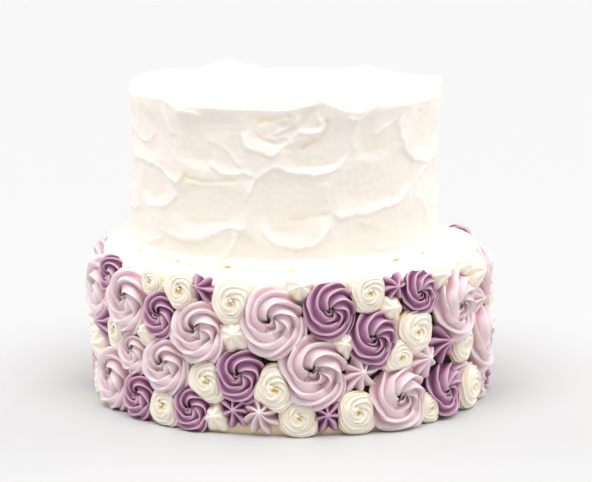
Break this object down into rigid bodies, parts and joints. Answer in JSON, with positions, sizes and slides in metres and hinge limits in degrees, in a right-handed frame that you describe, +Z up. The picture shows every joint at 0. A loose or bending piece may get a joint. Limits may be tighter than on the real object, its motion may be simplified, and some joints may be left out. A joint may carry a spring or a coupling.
{
  "type": "tiered buttercream cake",
  "caption": "Round tiered cake: piped buttercream rosettes and stars cover the lower tier's side, and palette-knife strokes cover the upper tier.",
  "frame": {"origin": "middle of the cake's underside, on the surface that it stands on", "axes": "+Z up; the front, as pictured, faces -Y"},
  "size_m": [0.228, 0.23, 0.1749],
  "materials": {
    "buttercream_cream": "soft satin buttercream, warm off-white",
    "buttercream_lilac": "soft satin buttercream, pale dusty lilac",
    "buttercream_plum": "soft satin buttercream, deep dusty plum"
  },
  "bodies": {
    "root": {"cream_rosette_01": "buttercream_cream", "cream_rosette_02": "buttercream_cream", "cream_rosette_03": "buttercream_cream", "cream_rosette_04": "buttercream_cream", "cream_rosette_05": "buttercream_cream", "cream_rosette_06": "buttercream_cream", "cream_rosette_07": "buttercream_cream", "cream_rosette_08": "buttercream_cream", "cream_rosette_09": "buttercream_cream", "cream_rosette_10": "buttercream_cream", "cream_rosette_11": "buttercream_cream", "cream_rosette_12": "buttercream_cream", "cream_rosette_13": "buttercream_cream", "cream_rosette_14": "buttercream_cream", "lilac_rosette_01": "buttercream_lilac", "lilac_rosette_02": "buttercream_lilac", "lilac_rosette_03": "buttercream_lilac", "lilac_rosette_04": "buttercream_lilac", "lilac_rosette_05": "buttercream_lilac", "lilac_rosette_06": "buttercream_lilac", "lilac_rosette_07": "buttercream_lilac", "lilac_rosette_08": "buttercream_lilac", "lilac_rosette_09": "buttercream_lilac", "lilac_rosette_10": "buttercream_lilac", "lilac_rosette_11": "buttercream_lilac", "lilac_rosette_12": "buttercream_lilac", "lilac_rosette_13": "buttercream_lilac", "lilac_rosette_14": "buttercream_lilac", "lilac_rosette_15": "buttercream_lilac", "lilac_rosette_16": "buttercream_lilac", "lilac_rosette_17": "buttercream_lilac", "lilac_rosette_18": "buttercream_lilac", "lilac_rosette_19": "buttercream_lilac", "lilac_rosette_20": "buttercream_lilac", "lilac_rosette_21": "buttercream_lilac", "lilac_rosette_22": "buttercream_lilac", "lilac_rosette_23": "buttercream_lilac", "lilac_rosette_24": "buttercream_lilac", "lower_tier": "buttercream_cream", "plum_rosette_01": "buttercream_plum", "plum_rosette_02": "buttercream_plum", "plum_rosette_03": "buttercream_plum", "plum_rosette_04": "buttercream_plum", "plum_rosette_05": "buttercream_plum", "plum_rosette_06": "buttercream_plum", "plum_rosette_07": "buttercream_plum", "plum_rosette_08": "buttercream_plum", "plum_rosette_09": "buttercream_plum", "plum_rosette_10": "buttercream_plum", "plum_rosette_11": "buttercream_plum", "plum_rosette_12": "buttercream_plum", "plum_rosette_13": "buttercream_plum", "plum_rosette_14": "buttercream_plum", "plum_rosette_15": "buttercream_plum", "plum_rosette_16": "buttercream_plum", "plum_rosette_17": "buttercream_plum", "plum_rosette_18": "buttercream_plum", "plum_rosette_19": "buttercream_plum", "plum_rosette_20": "buttercream_plum", "upper_tier": "buttercream_cream"}
  },
  "joints": []
}
